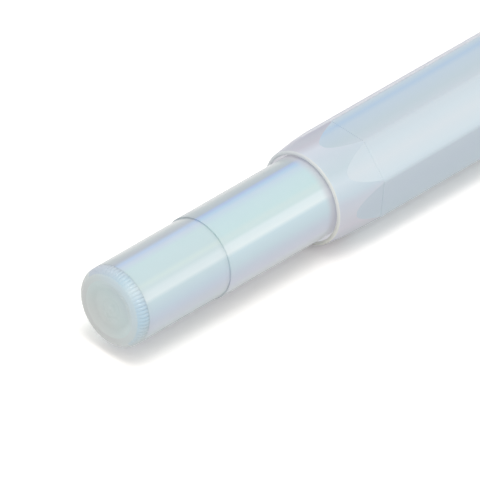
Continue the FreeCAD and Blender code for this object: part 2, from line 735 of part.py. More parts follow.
def check_and_export():
    """Stop on any failed object or bad solid, then write each piece to its own file."""
    doc.recompute()
    failed = [item.Label for item in doc.Objects if {"Invalid", "Error"} & set(item.State)]
    bodies = [item for item in doc.Objects if item.TypeId == "PartDesign::Body"]
    bad = [body.Label for body in bodies if body.Shape.isNull() or not body.Shape.isValid()]
    if failed or bad:
        raise RuntimeError(f"failed objects {failed}, bad solids {bad}")
    os.makedirs("parts", exist_ok=True)
    for body in bodies:
        body.Shape.exportStep(f"parts/{body.Label}.step")
        box = body.Shape.BoundBox
        print(f"{body.Label}: {len(body.Shape.Solids)} solid, {body.Shape.Volume:.2f} mm3, "
              f"X {box.XMin:.2f} to {box.XMax:.2f}, Z {box.ZMin:.2f} to {box.ZMax:.2f}")


make_end_knob()
make_rear_cover()
make_carbon_store()
make_tip_head()
make_neck()
make_tail_bush()
make_barrel()
make_nozzle()
make_brush_slide()
make_brush()
make_cap_shell()
make_cap_inside()
check_and_export()
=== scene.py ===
"""Looks of a pocket lens cleaning pen: pearly clear plastic outside, a brush and a carbon tip inside."""

import logging
import math
from dataclasses import dataclass, field
from enum import Enum

import bmesh
import bpy
import numpy as np
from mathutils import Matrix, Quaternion, Vector


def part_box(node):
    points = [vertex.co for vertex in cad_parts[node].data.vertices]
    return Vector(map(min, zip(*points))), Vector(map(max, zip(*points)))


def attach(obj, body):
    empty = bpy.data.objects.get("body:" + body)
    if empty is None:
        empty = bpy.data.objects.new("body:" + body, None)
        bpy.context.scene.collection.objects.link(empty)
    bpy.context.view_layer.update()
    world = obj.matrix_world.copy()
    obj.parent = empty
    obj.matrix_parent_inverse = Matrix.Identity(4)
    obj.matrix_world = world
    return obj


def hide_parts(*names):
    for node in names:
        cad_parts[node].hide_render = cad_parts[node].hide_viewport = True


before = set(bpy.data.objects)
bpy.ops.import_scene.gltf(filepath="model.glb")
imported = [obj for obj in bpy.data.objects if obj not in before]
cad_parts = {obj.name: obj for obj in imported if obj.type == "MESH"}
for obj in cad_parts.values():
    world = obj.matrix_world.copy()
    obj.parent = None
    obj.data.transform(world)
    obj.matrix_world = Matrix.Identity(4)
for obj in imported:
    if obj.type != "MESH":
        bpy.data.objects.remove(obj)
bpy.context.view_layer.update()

Object, Tree, Socket = bpy.types.Object, bpy.types.NodeTree, bpy.types.NodeSocket
LOG = logging.getLogger("lens_cleaning_pen")
MM = 0.001
NEW_PIECE = "_look"
# Directions round the axis, in degrees, along which the tints of the pen and of its knob change, with their
# painted highlight and painted shade.
# They suit a view from the pen's rear left, where the ramps' painted highlight stripe lies as a real one's
# would.
PEN_TURN = 49.4
KNOB_TURN = 139.4

# The pen's axis is level, and lies this far above the surface.
AXIS_HEIGHT = float(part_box("barrel_tube")[0][2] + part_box("barrel_tube")[1][2]) / 2
REAR_FACE = float(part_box("end_knob")[0][0])
MOUTH_PLACE = float(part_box("cap_shell")[0][0])


def station(node: str, end: int) -> float:
    """Where a CAD piece starts (end 0) or ends (end 1) along the pen, in millimetres from the rear face."""
    return (float(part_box(node)[end][0]) - REAR_FACE) / MM


def outer_radius(node: str) -> float:
    """Half the width of a CAD piece across the pen, in millimetres."""
    low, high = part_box(node)
    return float(high[1] - low[1]) / 2 / MM


def outer_flat(node: str) -> float:
    """Half the height of a CAD piece, which is a flat's distance from the axis, in millimetres."""
    low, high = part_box(node)
    return float(high[2] - low[2]) / 2 / MM


# Meshes, as surfaces worked out from a few sizes.


class Shading(Enum):
    """How a new mesh is shaded."""

    SMOOTH = math.pi
    CREASED = math.radians(24)


@dataclass(frozen=True)
class Arc:
    """A round stretch of a profile, in the plane of station and radius."""

    centre: tuple[float, float]
    radius: float
    start: float
    end: float
    steps: int = 8

    def points(self) -> np.ndarray:
        """Points on the arc: centre plus radius times (cos, sin) of angles from start to end, in degrees."""
        angle = np.radians(np.linspace(self.start, self.end, self.steps))
        return np.stack([self.centre[0] + self.radius * np.cos(angle),
                         self.centre[1] + self.radius * np.sin(angle)], axis=1)


def outline(*stretches: Arc | tuple[float, float]) -> np.ndarray:
    """Join corner points and arcs into one profile of (station, radius) rows, in millimetres."""
    rows = [item.points() if isinstance(item, Arc) else np.array([item], dtype=float) for item in stretches]
    return np.concatenate(rows)


def middle_rows(start: float, end: float, radius: float) -> list[tuple[float, float]]:
    """Corner points of a straight run, about every 3 mm, without its two ends."""
    count = max(int((end - start) / 3), 1) + 2
    return [(float(spot), radius) for spot in np.linspace(start, end, count)[1:-1]]


def place(stations: np.ndarray, across: np.ndarray, up: np.ndarray) -> np.ndarray:
    """Pen millimetres to the frame's metres: station from the rear face, across and up from the axis."""
    return np.stack([REAR_FACE + stations * MM, across * MM, AXIS_HEIGHT + up * MM], axis=-1)


def make_object(name: str, points: np.ndarray, faces: list[np.ndarray], shading: Shading) -> Object:
    """A closed mesh object from vertices and face arrays, with its faces turned outwards.

    Args:
        name: Name of the object.
        points: Vertices, one row each, in metres.
        faces: Arrays of triangles or quads, as rows of vertex numbers.
        shading: How its faces are shaded.

    Returns:
        The new object, at the origin.
    """
    mesh = bpy.data.meshes.new(name)
    mesh.from_pydata(points.tolist(), [], [row for quads in faces for row in quads.tolist()])
    shell = bmesh.new()
    shell.from_mesh(mesh)
    bmesh.ops.recalc_face_normals(shell, faces=shell.faces)
    shell.to_mesh(mesh)
    shell.free()
    mesh.polygons.foreach_set("use_smooth", np.ones(len(mesh.polygons), dtype=bool))
    if shading is Shading.CREASED:
        mesh.set_sharp_from_angle(angle=shading.value)
    obj = bpy.data.objects.new(name, mesh)
    bpy.context.scene.collection.objects.link(obj)
    return obj


def wrap_faces(rows: int, columns: int, closed_rows: bool) -> np.ndarray:
    """Quads of a grid that closes on itself round its columns, and along its rows if asked."""
    row = np.arange(rows if closed_rows else rows - 1)[:, None]
    column = np.arange(columns)[None, :]
    ahead, beside = (row + 1) % rows, (column + 1) % columns
    return np.stack([row * columns + column, ahead * columns + column,
                     ahead * columns + beside, row * columns + beside], axis=-1).reshape(-1, 4)


def lathe(name: str, profile: np.ndarray, around: int, shading: Shading = Shading.CREASED,
          ripple: np.ndarray | float = 0.0) -> Object:
    """A turned piece: the profile's radius carried round the pen's axis.

    A profile that starts and ends on the axis closes with a pole at each end. Any other closes on
    itself, as a tube's does.

    Args:
        name: Name of the object.
        profile: (station, radius) rows in millimetres.
        around: How many columns go round the axis.
        shading: How its faces are shaded.
        ripple: Change of radius in millimetres, a row for each profile point off the axis.

    Returns:
        The new object.
    """
    solid = profile[0, 1] < 1e-9 and profile[-1, 1] < 1e-9
    body = profile[1:-1] if solid else profile
    angle = np.broadcast_to(np.arange(around) * 2 * math.pi / around, (len(body), around))
    points, faces = turned_grid(body[:, 0], body[:, 1:] + ripple, angle, not solid)
    if solid:
        points = np.concatenate([points, place(profile[[0, -1], 0], np.zeros(2), np.zeros(2))])
        column = np.arange(around)
        beside = (column + 1) % around
        last = (len(body) - 1) * around
        pole = np.full(around, len(points) - 2)
        faces += [np.stack([pole, column, beside], axis=1),
                  np.stack([pole + 1, last + beside, last + column], axis=1)]
    return make_object(name, points, faces, shading)


def turned_grid(stations: np.ndarray, radius: np.ndarray, angle: np.ndarray,
                closed: bool) -> tuple[np.ndarray, list[np.ndarray]]:
    """Points at each row's station, with radius and angle (0 is up) by row and column, and their quads."""
    radius = np.broadcast_to(radius, angle.shape)
    along = np.broadcast_to(stations[:, None], angle.shape)
    points = place(along, -radius * np.sin(angle), radius * np.cos(angle)).reshape(-1, 3)
    return points, [wrap_faces(*angle.shape, closed)]


def pad(node: str, bulge: float, edge: float, dish: float = 0.0) -> Object:
    """A soft disc in the place of a CAD node.

    Its edges are rounded, its side bulges out (or in, below 0) as a sine, and its rear face can
    have a hollow of a cosine's shape. A slow ripple and fine random heights keep it from looking
    turned.

    Args:
        node: The CAD node that it stands for.
        bulge: How far the side stands out halfway, in millimetres.
        edge: Radius of its rounded edges, in millimetres.
        dish: Depth of the hollow in its rear face, in millimetres.

    Returns:
        The new object.
    """
    start, end = station(node, 0), station(node, 1)
    radius = outer_radius(node) - max(bulge, 0)
    reach = np.linspace(0, radius - edge, 24)
    hollow = dish * (0.5 + 0.5 * np.cos(math.pi * reach / (radius - edge)))
    face = np.stack([start + hollow, reach], axis=1)
    share = np.linspace(0, 1, 8)
    side = np.stack([start + edge + share * (end - start - 2 * edge),
                     radius + bulge * np.sin(share * math.pi)], axis=1)
    back = np.stack([np.full(8, end), np.linspace(radius - edge, 0, 8)], axis=1)
    profile = np.concatenate([face, Arc((start + edge, radius - edge), edge, 170, 100, 6).points(), side,
                              Arc((end - edge, radius - edge), edge, 80, 10, 6).points(), back])
    around, waves, unevenness = 160, 7, 0.012
    draw = np.random.default_rng(len(node))
    turn = np.arange(around) * 2 * math.pi / around
    off_axis = profile[1:-1]
    ripple = unevenness * np.sin(waves * turn)[None, :]
    ripple = ripple + unevenness * draw.standard_normal((len(off_axis), around))
    keep = np.clip(off_axis[:, 1:] / radius, 0, 1) ** 4
    return lathe(node + NEW_PIECE, profile, around, Shading.SMOOTH, ripple=-np.abs(ripple) * keep)


# Materials, each named for the real one.


def linear(colour: str) -> tuple[float, float, float, float]:
    """A hex sRGB colour as linear red, green, blue and alpha 1."""
    parts = np.array([int(colour[k:k + 2], 16) for k in (1, 3, 5)]) / 255
    low = parts / 12.92
    high = ((parts + 0.055) / 1.055) ** 2.4
    return (*(float(value) for value in np.where(parts <= 0.04045, low, high)), 1.0)


def add_node(tree: Tree, kind: str, inputs: dict | None = None, **settings) -> bpy.types.Node:
    """Add a node, set its properties, and fill or link its inputs.

    Args:
        tree: The material's node tree.
        kind: The node's type name, without "ShaderNode".
        inputs: Input name or number to a value, or to an output socket to link from.
        **settings: Properties of the node.

    Returns:
        The new node.
    """
    node = tree.nodes.new("ShaderNode" + kind)
    for key, setting in settings.items():
        setattr(node, key, setting)
    for key, given in (inputs or {}).items():
        if isinstance(given, Socket):
            tree.links.new(given, node.inputs[key])
        else:
            node.inputs[key].default_value = given
    return node


@dataclass(frozen=True)
class Finish:
    """One real material: its look, and the fine relief that its making leaves.

    grain_mm is the size of the relief's features, grain_depth_mm its height, and stretch how many
    times longer they are along the pen than across it. glow is light that it gives off, to stand
    for what comes through it from behind.
    """

    name: str
    roughness: float
    colour: str = "#ffffff"
    metallic: float = 0.0
    ior: float = 1.5
    coat: float = 0.0
    coat_roughness: float = 0.05
    subsurface: float = 0.0
    scatter_mm: float = 1.0
    sheen: float = 0.0
    glow: float = 0.0
    glow_colour: str = "#ffffff"
    grain_mm: float = 0.4
    grain_depth_mm: float = 0.005
    stretch: float = 1.0
    shade_colour: str = ""
    shade_share: float = 0.5
    wear: float = 0.08

    def coordinates(self, tree: Tree) -> Socket:
        """Object coordinates centred on the pen's axis, squeezed along it by the stretch."""
        source = add_node(tree, "TexCoord")
        mapping = add_node(tree, "Mapping", {0: source.outputs["Object"]}, vector_type="POINT")
        mapping.inputs["Location"].default_value = (0, 0, -AXIS_HEIGHT)
        mapping.inputs["Scale"].default_value = (1 / self.stretch, 1, 1)
        return mapping.outputs[0]

    def relief(self, tree: Tree, where: Socket) -> Socket:
        """The surface's fine height, from 0 to 1."""
        noise = add_node(tree, "TexNoise", {"Vector": where, "Scale": 1 / (self.grain_mm * MM),
                                            "Detail": 3.0, "Roughness": 0.55})
        return noise.outputs[0]

    def base(self, tree: Tree, where: Socket, height: Socket) -> Socket:
        """The base colour: the colour, mixed with its shade colour where the relief is low."""
        other = self.shade_colour or self.colour
        ramp = add_node(tree, "MapRange", {"Value": height, "From Min": 0.35, "From Max": 0.65,
                                           "To Min": 0.0, "To Max": self.shade_share})
        mix = add_node(tree, "Mix", {"Factor": ramp.outputs[0], 6: linear(self.colour),
                                     7: linear(other)}, data_type="RGBA")
        return mix.outputs[2]

    def build(self) -> bpy.types.Material:
        """Make the material.

        Returns:
            The finished material, driven by Object coordinates only.
        """
        material = bpy.data.materials.new(self.name)
        material.use_nodes = True
        tree = material.node_tree
        shader = tree.nodes["Principled BSDF"]
        where = self.coordinates(tree)
        height = self.relief(tree, where)
        tree.links.new(self.base(tree, where, height), shader.inputs["Base Color"])
        smoothest = max(self.roughness - self.wear, 0.02)
        spread = add_node(tree, "MapRange", {"Value": height, "To Min": smoothest,
                                             "To Max": self.roughness + self.wear})
        tree.links.new(spread.outputs[0], shader.inputs["Roughness"])
        bump = add_node(tree, "Bump", {"Height": height, "Distance": self.grain_depth_mm * MM,
                                       "Strength": 1.0})
        tree.links.new(bump.outputs[0], shader.inputs["Normal"])
        settings = {"Metallic": self.metallic, "IOR": self.ior, "Coat Weight": self.coat,
                    "Coat Roughness": self.coat_roughness, "Sheen Weight": self.sheen,
                    "Subsurface Weight": self.subsurface, "Subsurface Scale": self.scatter_mm * MM,
                    "Subsurface Radius": (1.0, 1.0, 1.0), "Emission Strength": self.glow,
                    "Emission Color": linear(self.glow_colour)}
        for socket, setting in settings.items():
            shader.inputs[socket].default_value = setting
        self.extra(shader)
        return material

    def extra(self, shader: bpy.types.Node) -> None:
        """Further settings of a kind of finish; a plain one has none."""


@dataclass(frozen=True)
class Turned(Finish):
    """Turned or drawn metal: fine rings round the pen's axis."""

    def relief(self, tree: Tree, where: Socket) -> Socket:
        """Rings whose height is noise of the distance along the pen and out from its axis."""
        parts = add_node(tree, "SeparateXYZ", {0: where})
        flat = add_node(tree, "CombineXYZ", {1: parts.outputs[1], 2: parts.outputs[2]})
        out = add_node(tree, "VectorMath", {0: flat.outputs[0]}, operation="LENGTH")
        rings = add_node(tree, "CombineXYZ", {0: parts.outputs[0], 1: out.outputs["Value"]})
        return super().relief(tree, rings.outputs[0])


@dataclass(frozen=True)
class Cells(Finish):
    """Open-cell foam: small round pores between thin walls."""

    def relief(self, tree: Tree, where: Socket) -> Socket:
        """Distance to the nearest pore's centre."""
        cells = add_node(tree, "TexVoronoi", {"Vector": where, "Scale": 1 / (self.grain_mm * MM)})
        return cells.outputs["Distance"]


@dataclass(frozen=True)
class Pearl(Finish):
    """Clear plastic with pearl pigment under a polished coat.

    bands are (place, colour) pairs: tints across the pen, from -1 at its upper edge to 1 at its
    lower one, and the same again behind. They hold the pigment's colours, and also a painted
    highlight (a pale stripe) and painted shade (darker edges). They run the pen's length and wander a little.
    haze is painted shade: a tint like the one that the cap's clear lip throws. It sets in over
    painted_cap_shade_mm before the mouth's place when closed, stays on beyond it, and doesn't move with the
    cap.
    """

    coat: float = 0.35
    subsurface: float = 0.3
    scatter_mm: float = 1.5
    bands: tuple[tuple[float, str], ...] = ()
    half_width_mm: float = 5.3
    turn: float = PEN_TURN
    wander: float = 0.03
    gloss: float = 0.15
    painted_cap_shade: str = ""
    painted_cap_shade_mm: float = 1.3
    painted_cap_shade_share: float = 0.75
    drift_mm: float = 9.0

    def base(self, tree: Tree, where: Socket, height: Socket) -> Socket:
        """The tint: the bands by the distance across the pen, with a slow wander, then the haze, a painted
        shade from the cap's lip.
        """
        turn = math.radians(self.turn)
        across = add_node(tree, "VectorMath", {0: where}, operation="DOT_PRODUCT")
        across.inputs[1].default_value = (0, -math.sin(turn), -math.cos(turn))
        drift = add_node(tree, "TexNoise", {"Vector": where,
                                            "Scale": 1 / (self.drift_mm * MM), "Detail": 1.0})
        reach = self.half_width_mm * MM
        share = add_node(tree, "MapRange", {"Value": across.outputs["Value"], "From Min": -reach,
                                            "From Max": reach})
        shift = add_node(tree, "MapRange", {"Value": drift.outputs[0], "To Min": -self.wander,
                                            "To Max": self.wander})
        total = add_node(tree, "Math", {0: share.outputs[0], 1: shift.outputs[0]})
        # The ramp's stops hold the pigment's tints, a painted highlight stripe and painted shade at the
        # edges.
        ramp = add_node(tree, "ValToRGB", {0: total.outputs[0]})
        stops = ramp.color_ramp.elements
        stops[0].color, stops[1].color = linear(self.bands[0][1]), linear(self.bands[-1][1])
        for spot, colour in self.bands[1:-1]:
            stops.new((spot + 1) / 2).color = linear(colour)
        if not self.painted_cap_shade:
            return ramp.outputs[0]
        # Painted shade: the cap lip's tint, laid on the barrel by its place along the pen.
        along = add_node(tree, "SeparateXYZ", {0: where})
        cap_shade_mask = add_node(tree, "MapRange", {
            "Value": along.outputs[0], "From Min": (MOUTH_PLACE - self.painted_cap_shade_mm * MM) / self.stretch,
            "From Max": MOUTH_PLACE / self.stretch, "To Max": self.painted_cap_shade_share},
            interpolation_type="SMOOTHSTEP")
        mix = add_node(tree, "Mix", {"Factor": cap_shade_mask.outputs[0], 6: ramp.outputs[0],
                                     7: linear(self.painted_cap_shade)}, data_type="RGBA")
        return mix.outputs[2]

    def extra(self, shader: bpy.types.Node) -> None:
        """Most of the light goes into the plastic, so little of it shines off the skin."""
        shader.inputs["Specular IOR Level"].default_value = self.gloss


class Look(Enum):
    """The finishes of the pen's pieces, each named for what the real one is."""

    # Clear plastic with pearl pigment, injection moulded and polished: pale, with cyan and lavender bands, a
    # painted highlight stripe, painted shade at its edges and painted cap shade near the mouth.
    BARREL = Pearl("pearl_acrylic_barrel", 0.3, painted_cap_shade="#d3d2d9",
                   grain_mm=6, grain_depth_mm=0.002, stretch=8, half_width_mm=5.33, bands=(
                       (-1.0, "#bac3c8"), (-0.93, "#b9c3c6"), (-0.82, "#b2bdc6"), (-0.78, "#adbfdf"),
                       (-0.72, "#b4cfe6"), (-0.64, "#c6d8e6"), (-0.5, "#c9e0e5"), (-0.2, "#cce4e6"),
                       (-0.1, "#d3e6e6"), (0.0, "#d4e7e8"), (0.07, "#e3f1f4"), (0.24, "#ecf8fb"),
                       (0.33, "#d2e6ed"), (0.55, "#cde0e8"), (0.7, "#ced9e5"), (0.85, "#d0d5e2"),
                       (1.0, "#cdd3d6")))
    # The sleeve's bands likewise hold a painted highlight stripe and painted shade at its edges.
    COVER = Pearl("pearl_acrylic_cover", 0.3,
                  grain_mm=6, grain_depth_mm=0.002, stretch=8, half_width_mm=5.17, bands=(
                      (-1.0, "#bac3c8"), (-0.93, "#bac3c6"), (-0.84, "#b4bcc6"), (-0.77, "#b8cce6"),
                      (-0.68, "#c9d7e6"), (-0.55, "#cae0e4"), (-0.2, "#cde2e5"), (-0.1, "#d6e8e7"),
                      (0.0, "#d4e6e9"), (0.1, "#e1f0f4"), (0.24, "#e8f6fa"), (0.33, "#d0e4eb"),
                      (0.55, "#cbdde9"), (0.7, "#cdd8e7"), (0.85, "#ced5e0"), (1.0, "#c3ced2")))
    # The same plastic with more pigment, so milkier, with lavender tints, a painted highlight stripe and
    # painted shade at its edges.
    CAP = Pearl("pearl_acrylic_cap", 0.32, coat=0.1, gloss=0.05,
                grain_mm=6, grain_depth_mm=0.002, stretch=8, half_width_mm=6.93, bands=(
                    (-1.0, "#bbbfcc"), (-0.95, "#babecb"), (-0.9, "#bdc4d0"), (-0.88, "#c6d3dc"),
                    (-0.78, "#b6cbdf"), (-0.70, "#c2d1de"), (-0.5, "#c3d1d9"), (-0.36, "#cad4dc"),
                    (-0.27, "#d7e2e9"), (-0.1, "#dae6ed"), (0.1, "#dfe8ee"), (0.35, "#dbe7ee"),
                    (0.44, "#d5e2ea"), (0.5, "#cdd8e1"), (0.7, "#cad5df"), (0.9, "#cad6de"),
                    (1.0, "#c8d0d8")))
    # The cone ahead of the flats: the same plastic, with more lavender and its own painted highlight and
    # painted shade, as its slope takes the light otherwise than the flats do.
    COLLAR = Pearl("pearl_acrylic_collar", 0.32, coat=0.1, gloss=0.05,
                   grain_mm=5, grain_depth_mm=0.003, half_width_mm=6.5, wander=0.05, bands=(
                       (-1.0, "#bbbcc9"), (-0.9, "#c0c3cd"), (-0.8, "#c6c6d0"), (-0.66, "#d4dae4"),
                       (-0.45, "#cfd9e2"), (-0.1, "#cedce3"), (0.12, "#dae6ee"), (0.36, "#d2e0e9"),
                       (0.5, "#d3d9e3"), (0.7, "#d8dae2"), (0.86, "#d8d6de"), (1.0, "#c4c8ce")))
    # Its moulded lip is left thicker and less clear, so it looks warmer; its tints are painted paler than the
    # plastic, as painted light that comes through it.
    LIP = Pearl("pearl_acrylic_lip", 0.4, coat=0.3, subsurface=0.5, scatter_mm=2,
                grain_mm=3, grain_depth_mm=0.003, half_width_mm=6.2, bands=(
                    (-1.0, "#cfd5d8"), (-0.5, "#e2e5e4"), (0.2, "#e8ebe6"), (0.6, "#e8e8e4"),
                    (1.0, "#dfdfd3")))
    # Light comes through the wall into the mouth, so its inside is the palest of all. A faint glow
    # stands for that light.
    THROAT = Finish("pearl_acrylic_throat", 0.45, "#8c8e90", subsurface=0.5, scatter_mm=1, glow=0.6,
                    glow_colour="#e6e6ea", grain_mm=3, grain_depth_mm=0.003, shade_colour="#868886")
    # The knob is thick: its dished face looks grey-green, and greyer towards its lower side.
    KNOB = Pearl("pearl_acrylic_knob", 0.34,
                 grain_mm=1.6, grain_depth_mm=0.05, half_width_mm=5.15, turn=KNOB_TURN, wander=0.12, bands=(
                     (-1.0, "#d6d8d4"), (-0.6, "#d4d9d7"), (-0.25, "#d0dbda"), (0.1, "#cddcdc"),
                     (0.4, "#cbd9dc"), (0.7, "#c8d8dd"), (1.0, "#c8d9df")))
    # The rounded edge round the dish is smoother, and painted paler, as a painted highlight.
    EDGE = Pearl("pearl_acrylic_edge", 0.3,
                 grain_mm=3, grain_depth_mm=0.004, half_width_mm=5.15, turn=KNOB_TURN, wander=0.05, bands=(
                     (-1.0, "#cdcfcd"), (-0.4, "#cfd3d2"), (0.2, "#d0dadb"), (0.6, "#cfdee4"),
                     (1.0, "#d0e2ea")))
    # The ribs' blue is a painted reflection of a blue sky, palest where a painted highlight lies.
    RIBS = Pearl("pearl_acrylic_ribs", 0.34,
                 grain_mm=3, grain_depth_mm=0.004, half_width_mm=5.2, wander=0.06, bands=(
                     (-1.0, "#c2c8d2"), (-0.7, "#c4d3de"), (-0.4, "#c6dde8"), (-0.1, "#d8e8ee"),
                     (0.3, "#c6dcea"), (0.6, "#c2dae8"), (0.85, "#c6d4da"), (0.95, "#c8d0d0"),
                     (1.0, "#c4cbc8")))
    # Natural moulded plastic, unpigmented: dull and slightly warm.
    LINER = Finish("natural_polypropylene", 0.45, "#d8dcdd", subsurface=0.2, grain_mm=0.6,
                   grain_depth_mm=0.004, shade_colour="#cdd2d4")
    NOZZLE = Finish("clear_styrene_nozzle", 0.2, "#c9d2da", coat=0.6, subsurface=0.2, grain_mm=2,
                    grain_depth_mm=0.003, shade_colour="#bccad6")
    # Spark-eroded moulds leave a fine grain on black plastic.
    BLACK = Finish("moulded_black_abs", 0.42, "#1b1c1f", grain_mm=0.12, grain_depth_mm=0.006,
                   shade_colour="#2a2c30")
    WHITE = Finish("natural_acetal", 0.35, "#dad9d2", subsurface=0.15, grain_mm=0.3, grain_depth_mm=0.003,
                   shade_colour="#cfcec6")
    FOAM = Cells("open_cell_foam", 0.9, "#4a4c52", grain_mm=0.22, grain_depth_mm=0.06, shade_colour="#26272b",
                 shade_share=0.8)
    FELT = Finish("carbon_felt", 0.95, "#141416", sheen=0.35, grain_mm=0.09, grain_depth_mm=0.04,
                  shade_colour="#2c2c30")
    CHAMOIS = Finish("carbon_darkened_chamois", 0.88, "#26262a", sheen=0.5, grain_mm=0.14,
                     grain_depth_mm=0.03, shade_colour="#3b3a3c")
    STEEL = Turned("ground_steel", 0.28, "#b8b9bb", metallic=1.0, grain_mm=0.05, grain_depth_mm=0.002)
    SPRING = Finish("rolled_spring_steel", 0.32, "#a4a6a8", metallic=1.0, grain_mm=0.12, grain_depth_mm=0.002,
                    stretch=10)
    NICKEL = Turned("bright_nickel", 0.12, "#d5d3cf", metallic=1.0, grain_mm=0.12, grain_depth_mm=0.001,
                    wear=0.04)
    INLAY = Turned("turned_aluminium", 0.3, "#cfd3d8", metallic=1.0, grain_mm=0.07, grain_depth_mm=0.003)
    # Goat hair, which has dark roots and paler tips: here dark with paler streaks, and a soft sheen.
    HAIR = Finish("goat_hair", 0.5, "#2a2320", sheen=0.3, grain_mm=0.3, grain_depth_mm=0.0, stretch=20,
                  shade_colour="#4a4038", shade_share=0.7)

    def material(self) -> bpy.types.Material:
        """The look's material, made once."""
        return bpy.data.materials.get(self.value.name) or self.value.build()


def dress(obj: Object, *looks: Look) -> None:
    """Give an object its looks; each face's material number picks one, and is 0 unless it is set."""
    if obj.data.materials:
        obj.data.materials.clear()
    for look in looks:
        obj.data.materials.append(look.material())


def choose_looks(obj: Object, number: np.ndarray) -> None:
    """Set each face's material number."""
    obj.data.polygons.foreach_set("material_index", number.astype(np.int32))


def face_middles(obj: Object) -> np.ndarray:
    """The middle of each face, one row each, in metres from the frame's origin and the axis's height."""
    middles = np.empty(len(obj.data.polygons) * 3)
    obj.data.polygons.foreach_get("center", middles)
    return middles.reshape(-1, 3) - (0, 0, AXIS_HEIGHT)


def face_places(obj: Object) -> tuple[np.ndarray, np.ndarray]:
    """The station of each face's middle, and its distance from the pen's axis, in millimetres."""
    along, across, up = face_middles(obj).T
    return (along - REAR_FACE) / MM, np.hypot(across, up) / MM


def facing(obj: Object, turn: float) -> np.ndarray:
    """How far each face's middle lies towards a direction round the axis (turn degrees), from -1 to 1."""
    _, across, up = face_middles(obj).T
    towards = -math.sin(math.radians(turn)) * across - math.cos(math.radians(turn)) * up
    return towards / np.maximum(np.hypot(across, up), 1e-9)


# Sub-assemblies, one class each.


@dataclass
class Assembly:
    """A group of pieces that move together, on one body of the frame. Sizes are in millimetres."""

    body: str
    kept: dict[str, Look] = field(default_factory=dict)

    def take(self, obj: Object, *looks: Look, fill: float | None = None) -> None:
        """Put a new piece in the place of the CAD node that it is named after, on this body.

        Args:
            obj: The new piece, named NODE_look.
            *looks: Its finishes, in the order of its faces' material numbers.
            fill: How tight it is, if it is a pad. Not used.
        """
        node = obj.name.removesuffix(NEW_PIECE)
        dress(obj, *looks)
        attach(obj, self.body)
        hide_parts(node)
        LOG.info("%s: %s, %d faces", self.body, obj.name, len(obj.data.polygons))

    def build(self) -> None:
        """Dress the CAD nodes that keep their own shape, then make the new pieces."""
        for node, look in self.kept.items():
            dress(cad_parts[node], look)
            LOG.info("%s: %s keeps its CAD shape, as %s", self.body, node, look.value.name)
        self.make_pieces()

    def make_pieces(self) -> None:
        """Make the assembly's new pieces; one that only carries CAD nodes has none."""


